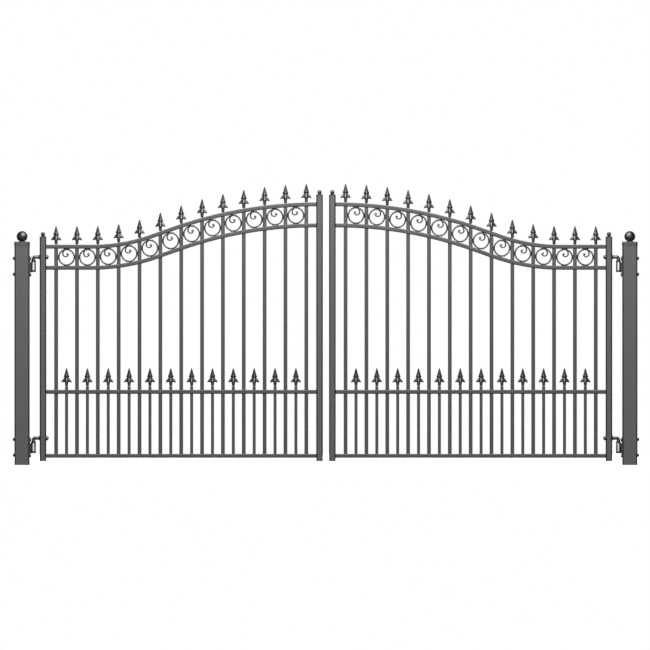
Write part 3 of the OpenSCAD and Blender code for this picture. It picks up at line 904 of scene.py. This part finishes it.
# Rings of a spear from its neck to its point, in millimetres: how far the four ribs reach,
# how thick they are there, how far the hollows between them are, and the height below the
# point of the ribs and of the hollows.
SPEAR_RINGS = (
    (10.8, 4.6, 10.4, 127, 127),
    (11.2, 4.6, 10.8, 118, 118),
    (11.8, 4.8, 11.2, 104, 103),
    (12.2, 4.8, 11.4, 97, 96),
    (17.0, 5.4, 12.0, 94.5, 91.5),
    (29.0, 6.4, 12.8, 98.6, 89),
    (36.0, 6.0, 13.4, 99.4, 87),
    (37.0, 5.2, 13.8, 94.5, 85),
    (31.8, 5.6, 14.0, 86.5, 82),
    (27.2, 5.6, 13.4, 79.0, 77.5),
    (22.4, 4.6, 12.6, 72.5, 71.5),
    (16.0, 3.6, 12.0, 67.4, 67),
    (16.2, 3.4, 12.4, 64.8, 61),
    (20.8, 3.0, 13.6, 59.0, 54),
    (20.0, 2.8, 13.2, 56.0, 51.5),
    (15.0, 2.4, 10.2, 46.5, 44.5),
    (11.8, 2.0, 8.0, 34.0, 33),
    (8.6, 1.7, 5.8, 21.0, 21),
    (5.2, 1.1, 3.4, 8.5, 8.5),
    (2.0, 0.6, 1.4, 0.3, 0.3),
)
SPEAR_SIDES = 16
# Rings lower than this belong to the neck, which is shorter on a short picket
NECK_BELOW = 110


def spear_point(turn, ring):
    """Where point number turn of a spear's ring lies: a rib's crest, its two flanks or a hollow."""
    reach, thick, hollow, rib_z, hollow_z = (size * MM for size in ring)
    quarter = Matrix.Rotation(math.radians(90) * (turn // 4), 3, "Z")
    place = turn % 4
    if place == 0:
        return quarter @ Vector((reach, 0, -rib_z))
    if place == 2:
        return quarter @ Vector((hollow * 0.7071, hollow * 0.7071, -hollow_z))
    flank = Vector((max(reach - 0.5 * thick, hollow * 0.7071), thick, -rib_z * 0.7 - hollow_z * 0.3))
    if place == 3:
        flank = Matrix.Rotation(math.radians(90), 3, "Z") @ Vector((flank.x, -flank.y, flank.z))
    return quarter @ flank


def spear(bm, rings):
    """Draws a spear with its point at the origin, ring upon ring."""
    turn = bm.verts.layers.int.new("turn")
    verts = bmesh.ops.create_circle(bm, cap_ends=True, radius=1, segments=SPEAR_SIDES)["verts"]
    for i, vert in enumerate(verts):
        vert[turn] = i
    edges = [e for e in bm.edges if e.is_boundary]
    for vert in verts:
        vert.co = spear_point(vert[turn], rings[0])
    for ring in rings[1:]:
        made = bmesh.ops.extrude_edge_only(bm, edges=edges)["geom"]
        verts = verts_of(made)
        for vert in verts:
            vert.co = spear_point(vert[turn], ring)
        edges = [e for e in made if isinstance(e, bmesh.types.BMEdge)
                 and all(v in verts for v in e.verts)]
    bmesh.ops.contextual_create(bm, geom=edges)


class GATE_OT_spears(bpy.types.Operator):
    """Cast the spears on the top rail and on the short pickets"""

    bl_idname = "gate.spears"
    bl_label = "Spears"

    def execute(self, context):
        for node, name in (("top_spears", "top_spear_points"), ("short_spears", "short_spear_points")):
            boxes = solids(f"left_{node}")
            size = boxes[0][1] - boxes[0][0]
            shorter = SPEAR_RINGS[0][3] - size.z / MM
            bm = bmesh.new()
            spear(bm, [(*ring[:3], ring[3] - shorter, ring[4] - shorter) if ring[3] > NECK_BELOW else ring
                       for ring in SPEAR_RINGS])
            bmesh.ops.scale(bm, vec=(1, size.y / size.x, 1), verts=bm.verts)
            points = [Vector((middle(box).x, 0, box[1].z)) for box in boxes]
            repeat(bm, points)
            bmesh.ops.recalc_face_normals(bm, faces=bm.faces)
            add_pair(bm, name, True, ["Cast points"], [node])
            for side in ("left", "right"):
                rounding = bpy.data.objects[f"{side}_{name}"].modifiers.new("Rounding", "SUBSURF")
                rounding.levels = rounding.render_levels = 1
                bpy.data.objects[f"{side}_{name}"].modifiers.move(1, 0)
        return {"FINISHED"}


# ---- Hinges ----


def hexagon(bm, across, thick, chamfer):
    """A six-sided prism on Z = 0 with softened edges."""
    verts = bmesh.ops.create_cone(
        bm, cap_ends=True, segments=6, radius1=across / math.sqrt(3), radius2=across / math.sqrt(3),
        depth=thick, matrix=Matrix.Translation(thick / 2 * Z))["verts"]
    soften(bm, list({e for v in verts for e in v.link_edges}), chamfer, 2)


def washer(bm, radius, thick):
    """A washer on Z = 0 with its rim softened."""
    lip = 0.25 * thick
    turned(bm, [(0, 0), (radius, 0), (radius, thick - lip), (radius - lip, thick), (0, thick)],
           Vector(), Z, 36)


def stand(bm, place, axis):
    """Turns what is drawn on Z = 0 to point along axis, and puts it in place."""
    bmesh.ops.rotate(bm, cent=(0, 0, 0), matrix=Z.rotation_difference(axis).to_matrix(), verts=bm.verts)
    bmesh.ops.translate(bm, vec=place, verts=bm.verts)


def add_to(bm, other):
    """Moves the shape of another bmesh into this one."""
    mesh = bpy.data.meshes.new("handover")
    other.to_mesh(mesh)
    other.free()
    bm.from_mesh(mesh)
    bpy.data.meshes.remove(mesh)


class GATE_OT_hinges(bpy.types.Operator):
    """Build the hinge plates, barrels and rods"""

    bl_idname = "gate.hinges"
    bl_label = "Hinges"

    def execute(self, context):
        hinge, steel = context.scene.gate_hinges, context.scene.gate_steel
        axis = next(j for j in frame["joints"] if j["name"] == "left_leaf_swing")["pos_m"][0]
        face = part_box("left_post")[1].x
        plates, barrels, rods = bmesh.new(), bmesh.new(), bmesh.new()
        plate_corner, seat = 6 * MM, 0.3 * MM
        for level in ("upper", "lower"):
            low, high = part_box(f"left_{level}_bracket")
            rod_low, rod_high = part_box(f"left_{level}_hinge_rod")
            foot = rod_low.z - hinge.rod_inset
            self.plate(plates, Vector((face, low.y, low.z)),
                       Vector((face + hinge.plate, high.y, high.z)), plate_corner)
            self.web(plates, hinge, steel, face + hinge.plate, axis, foot)
            self.barrel(plates, hinge, Vector((axis, 0, foot)), hinge.dark_end)
            self.barrel(barrels, hinge, Vector((axis, 0, foot + hinge.dark_end)),
                        hinge.barrel_length - hinge.dark_end)
            self.rod(rods, hinge, axis, rod_low.z, rod_high)
            self.collar(rods, hinge, Vector((axis, 0, foot + hinge.barrel_length + seat)))
        add_pair(plates, "hinge_plates", False, ["Post powder coat"],
                 ["upper_bracket", "lower_bracket"])
        add_pair(barrels, "hinge_barrels", False, ["Bright steel"])
        add_pair(rods, "hinge_rods", True, ["Hardware enamel"],
                 ["upper_hinge_rod", "lower_hinge_rod"])
        return {"FINISHED"}

    @staticmethod
    def plate(bm, low, high, corner):
        """A plate against the post, with round corners and softened edges."""
        rounding = 0.8 * MM
        verts = block(bm, low, high)
        made = soften(bm, edges_along(verts, X), corner, 5)
        rim = [e for e in {e for f in made["faces"] for v in f.verts for e in v.link_edges}
               if abs((e.verts[1].co - e.verts[0].co).normalized().x) < 0.1 and len(e.link_faces) == 2
               and e.calc_face_angle(0) > 1]
        soften(bm, rim, rounding, 2)

    @staticmethod
    def web(bm, hinge, steel, start, axis, foot):
        """The web that carries the barrel, welded to it and to the plate on both sides."""
        half = hinge.web / 2
        into_plate, into_barrel, rounding, inset = 1 * MM, 2 * MM, 1.2 * MM, 2 * MM
        end = axis - hinge.barrel / 2 + into_barrel
        tube(bm, Vector((start - into_plate, -half, foot)),
             Vector((end, half, foot + hinge.barrel_length)), X, rounding, 2)
        for side in (-1, 1):
            for x, out in ((start, 0.4 * MM), (end - rounding, 0.8 * MM)):
                at = Vector((x, side * (half + out), foot + inset))
                bead(bm, at, at + (hinge.barrel_length - 2 * inset) * Z, 1.4 * steel.weld)

    @staticmethod
    def barrel(bm, hinge, foot, top):
        """A turned sleeve with chamfered ends."""
        play, edge = 0.05 * MM, 1.2 * MM
        bore, out = hinge.rod / 2 + play, hinge.barrel / 2
        turned(bm, [(bore, 0), (out - edge, 0), (out, edge), (out, top - edge), (out - edge, top),
                    (bore + edge / 2, top), (bore, top - edge / 2), (bore, 0)], foot, Z, 48)

    @staticmethod
    def rod(bm, hinge, axis, foot, high):
        """Up from the barrel, round a bend, and along into the stile."""
        short_of_end = 4 * MM
        arm = high.z - hinge.rod / 2
        bend_foot = arm - hinge.rod_bend
        face = disc(bm, Vector((axis, 0, foot)), hinge.rod / 2, Z, 28)
        face = pull(bm, face, (bend_foot - foot) * Z)
        centre = Vector((axis + hinge.rod_bend, 0, bend_foot))
        face = bend(bm, face, centre, Y, math.radians(90), 14)
        pull(bm, face, (high.x - centre.x - short_of_end) * X)

    @staticmethod
    def collar(bm, hinge, foot):
        """The stepped collar that turns on top of the barrel."""
        edge, step, thick = 1 * MM, 2.5 * MM, hinge.collar
        out, top = hinge.rod / 2 + hinge.collar_lip, 1.5 * thick
        neck = out - step
        turned(bm, [(0, 0), (out - edge, 0), (out, edge), (out, thick - edge), (out - edge, thick),
                    (neck, thick + edge), (neck, top - edge), (neck - edge, top), (0, top)],
               foot, Z, 40)


class GATE_OT_fasteners(bpy.types.Operator):
    """Build the through-bolts, their nuts and the domed nuts on the stiles"""

    bl_idname = "gate.fasteners"
    bl_label = "Bolts and nuts"

    def execute(self, context):
        hinge = context.scene.gate_hinges
        heads, nuts, domes = bmesh.new(), bmesh.new(), bmesh.new()
        post_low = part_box("left_post")[0]
        for low, high in solids("left_post_bolts"):
            at = Vector((post_low.x, 0, middle((low, high)).z))
            self.head(heads, hinge, at, (high.z - low.z) / 2, at.x - low.x)
        for box, bolt in zip(solids("left_post_nuts"), solids("left_post_bolts")):
            self.nut(nuts, hinge, Vector((box[0].x, 0, middle(box).z)), box, bolt[1].x - box[0].x)
        stile_low, stile_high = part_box("left_hinge_stile")
        stile_middle = middle((stile_low, stile_high)).x
        for box in solids("left_rod_nuts"):
            outward = middle(box).x > stile_middle
            at = Vector((stile_high.x if outward else stile_low.x, 0, middle(box).z))
            self.domed_nut(domes, hinge, at, X if outward else -X, box)
        add_pair(heads, "bolt_heads", False, ["Hardware enamel"], ["post_bolts"])
        add_pair(nuts, "bolt_nuts", False, ["Hardware enamel"], ["post_nuts"])
        add_pair(domes, "stile_nuts", True, ["Hardware enamel"], ["rod_nuts"])
        return {"FINISHED"}

    @staticmethod
    def head(bm, hinge, at, radius, reach):
        """A washer and a round head that stands out by reach."""
        part = bmesh.new()
        washer(part, radius, hinge.washer)
        showing, rim = 1 * MM, 1.5 * MM
        radius -= showing
        dome = reach - hinge.washer - rim
        ball = (radius ** 2 + dome ** 2) / (2 * dome)
        rise = math.degrees(math.asin((ball - dome) / ball))
        turned(part, [(0, hinge.washer - 0.2 * MM), (radius - 0.6 * MM, hinge.washer - 0.2 * MM),
                      (radius, hinge.washer + 0.5 * MM)]
               + arc(0, reach - ball, ball, rise, 90, 10), Vector(), Z, 40)
        stand(part, at, -X)
        add_to(bm, part)

    @staticmethod
    def nut(bm, hinge, at, box, end):
        """A thin washer, a six-sided nut and the end of its bolt."""
        part = bmesh.new()
        thick = box[1].x - box[0].x
        across = (box[1].y - box[0].y) * math.cos(math.radians(30))
        if box[1].z - box[0].z < box[1].y - box[0].y:
            across = box[1].z - box[0].z
        bolt, sunk, edge = 6 * MM, 1 * MM, 0.8 * MM
        washer(part, across * 0.57, hinge.washer * 0.75)
        hexagon(part, across, thick, 0.9 * MM)
        turned(part, [(0, thick - sunk), (bolt, thick - sunk), (bolt, end - edge), (bolt - edge, end),
                      (0, end)], Vector(), Z, 24)
        stand(part, at, X)
        add_to(bm, part)

    @staticmethod
    def domed_nut(bm, hinge, at, way, box):
        """A washer, a six-sided nut and its dome."""
        part = bmesh.new()
        thick = box[1].x - box[0].x
        across = min(box[1].y - box[0].y, box[1].z - box[0].z)
        inset, sunk = 0.8 * MM, 1 * MM
        radius, dome = across / 2 - inset, hinge.nut_dome
        washer(part, across * 0.6, hinge.washer)
        hexagon(part, across, thick - dome, 1.1 * MM)
        ball = (radius ** 2 + dome ** 2) / (2 * dome)
        rise = math.degrees(math.asin((ball - dome) / ball))
        turned(part, [(0, thick - dome - sunk), (radius, thick - dome - sunk)]
               + arc(0, thick - ball, ball, rise, 90, 10), Vector(), Z, 40)
        stand(part, at, way)
        add_to(bm, part)


class GATE_OT_stage(bpy.types.Operator):
    """Set up the camera, the light and the floor"""

    bl_idname = "gate.stage"
    bl_label = "Stage"

    def execute(self, context):
        look = context.scene.gate_stage
        self.camera(context, look)
        self.lights(context, look)
        self.floor(context)
        self.surroundings(context, look)
        context.scene.view_settings.view_transform = "Standard"
        return {"FINISHED"}

    @staticmethod
    def camera(context, look):
        data = bpy.data.cameras.new("Gate camera")
        data.lens = data.sensor_width * look.distance / look.picture_width
        data.clip_end = 200
        camera = bpy.data.objects.new("Gate camera", data)
        camera.location = (GATE_MIDDLE - look.off_middle, -look.distance, look.eye_height)
        camera.rotation_euler = (math.radians(90), 0, 0)
        context.scene.collection.objects.link(camera)
        context.scene.camera = camera

    @staticmethod
    def light(context, name, place, aim, size, power, only):
        data = bpy.data.lights.new(name, "AREA")
        data.shape = "RECTANGLE"
        data.size, data.size_y = size
        data.energy = power
        lamp = bpy.data.objects.new(name, data)
        lamp.location = place
        lamp.rotation_mode = "QUATERNION"
        lamp.rotation_quaternion = (Vector(place) - Vector(aim)).to_track_quat("Z", "Y")
        lamp.visible_camera = False
        lamp.visible_diffuse = only == "diffuse"
        lamp.visible_glossy = only == "glossy"
        context.scene.collection.objects.link(lamp)

    def lights(self, context, look):
        """A lamp high above the middle for the gloss, and soft light on the inner side."""
        aim = (GATE_MIDDLE, 0, 1.2)
        self.light(context, "Overhead lamp", (GATE_MIDDLE, -1.6, 3.9), aim, (4.8, 3.4),
                   look.highlight, "glossy")
        self.light(context, "Back fill", (GATE_MIDDLE, 6, 2.4), aim, (6, 3), look.back_fill, "diffuse")

    @staticmethod
    def floor(context):
        bm = bmesh.new()
        bmesh.ops.create_grid(bm, x_segments=1, y_segments=1, size=7)
        bmesh.ops.translate(bm, vec=(GATE_MIDDLE, 0, -1 * MM), verts=bm.verts)
        mesh = bpy.data.meshes.new("Floor")
        bm.to_mesh(mesh)
        bm.free()
        floor = bpy.data.objects.new("Floor", mesh)
        material = bpy.data.materials.new("Pale floor")
        material.use_nodes = True
        shader = material.node_tree.nodes["Principled BSDF"]
        shader.inputs["Base Color"].default_value = (0.86, 0.86, 0.86, 1)
        shader.inputs["Roughness"].default_value = 0.9
        shader.inputs["Emission Color"].default_value = (1, 1, 1, 1)
        seen = add_node(material.node_tree, "ShaderNodeLightPath")
        material.node_tree.links.new(seen.outputs["Is Camera Ray"], shader.inputs["Emission Strength"])
        mesh.materials.append(material)
        context.scene.collection.objects.link(floor)

    @staticmethod
    def surroundings(context, look):
        """White behind the gate; what the pieces reflect is bright in front, dim beside."""
        world = bpy.data.worlds.new("Studio")
        world.use_nodes = True
        tree = world.node_tree
        link = tree.links.new
        seen = tree.nodes["Background"]
        seen.inputs["Color"].default_value = (1, 1, 1, 1)
        way = add_node(tree, "ShaderNodeTexCoord")
        parts = add_node(tree, "ShaderNodeSeparateXYZ")
        link(way.outputs["Generated"], parts.inputs[0])
        inwards = add_node(tree, "ShaderNodeMath", {"operation": "ABSOLUTE"})
        link(parts.outputs["Y"], inwards.inputs[0])
        focus = add_node(tree, "ShaderNodeMath", {"operation": "POWER"})
        focus.inputs[1].default_value = look.focus
        link(inwards.outputs[0], focus.inputs[0])
        level = add_node(tree, "ShaderNodeMapRange", To_Min=look.side_light)
        side = add_node(tree, "ShaderNodeMapRange", {"interpolation_type": "SMOOTHSTEP"}, From_Min=-0.3,
                        From_Max=0.3, To_Min=look.front_light, To_Max=look.front_light * look.back_share)
        link(parts.outputs["Y"], side.inputs["Value"])
        link(side.outputs["Result"], level.inputs["To Max"])
        link(focus.outputs[0], level.inputs["Value"])
        around = add_node(tree, "ShaderNodeBackground", Color=(1, 1, 1, 1))
        link(level.outputs["Result"], around.inputs["Strength"])
        path = add_node(tree, "ShaderNodeLightPath")
        choice = add_node(tree, "ShaderNodeMixShader")
        link(path.outputs["Is Camera Ray"], choice.inputs["Fac"])
        link(around.outputs[0], choice.inputs[1])
        link(seen.outputs[0], choice.inputs[2])
        link(choice.outputs[0], tree.nodes["World Output"].inputs["Surface"])
        context.scene.world = world


# ---- The add-on ----


STEPS = (
    GATE_OT_finishes,
    GATE_OT_posts,
    GATE_OT_post_balls,
    GATE_OT_leaf_frames,
    GATE_OT_pickets,
    GATE_OT_stile_caps,
    GATE_OT_ring_scrolls,
    GATE_OT_spears,
    GATE_OT_hinges,
    GATE_OT_fasteners,
    GATE_OT_stage,
)


class GATE_PT_panel(bpy.types.Panel):
    """Lists the steps that build the gate, in order"""

    bl_idname = "GATE_PT_panel"
    bl_label = "Driveway Gate"
    bl_space_type = "VIEW_3D"
    bl_region_type = "UI"
    bl_category = "Gate"

    def draw(self, context):
        for step in STEPS:
            self.layout.operator(step.bl_idname)


SETTINGS = {
    "gate_steel": GateSteel,
    "gate_castings": GateCastings,
    "gate_hinges": GateHinges,
    "gate_paint": GatePaint,
    "gate_stage": GateStage,
}


def register():
    for cls in (*SETTINGS.values(), *STEPS, GATE_PT_panel):
        bpy.utils.register_class(cls)
    for name, group in SETTINGS.items():
        setattr(bpy.types.Scene, name, PointerProperty(type=group))


def unregister():
    for name in SETTINGS:
        delattr(bpy.types.Scene, name)
    for cls in (GATE_PT_panel, *reversed(STEPS), *reversed(SETTINGS.values())):
        bpy.utils.unregister_class(cls)


def main():
    register()
    for step in STEPS:
        group, name = step.bl_idname.split(".")
        getattr(getattr(bpy.ops, group), name)()


if __name__ == "__main__":
    main()
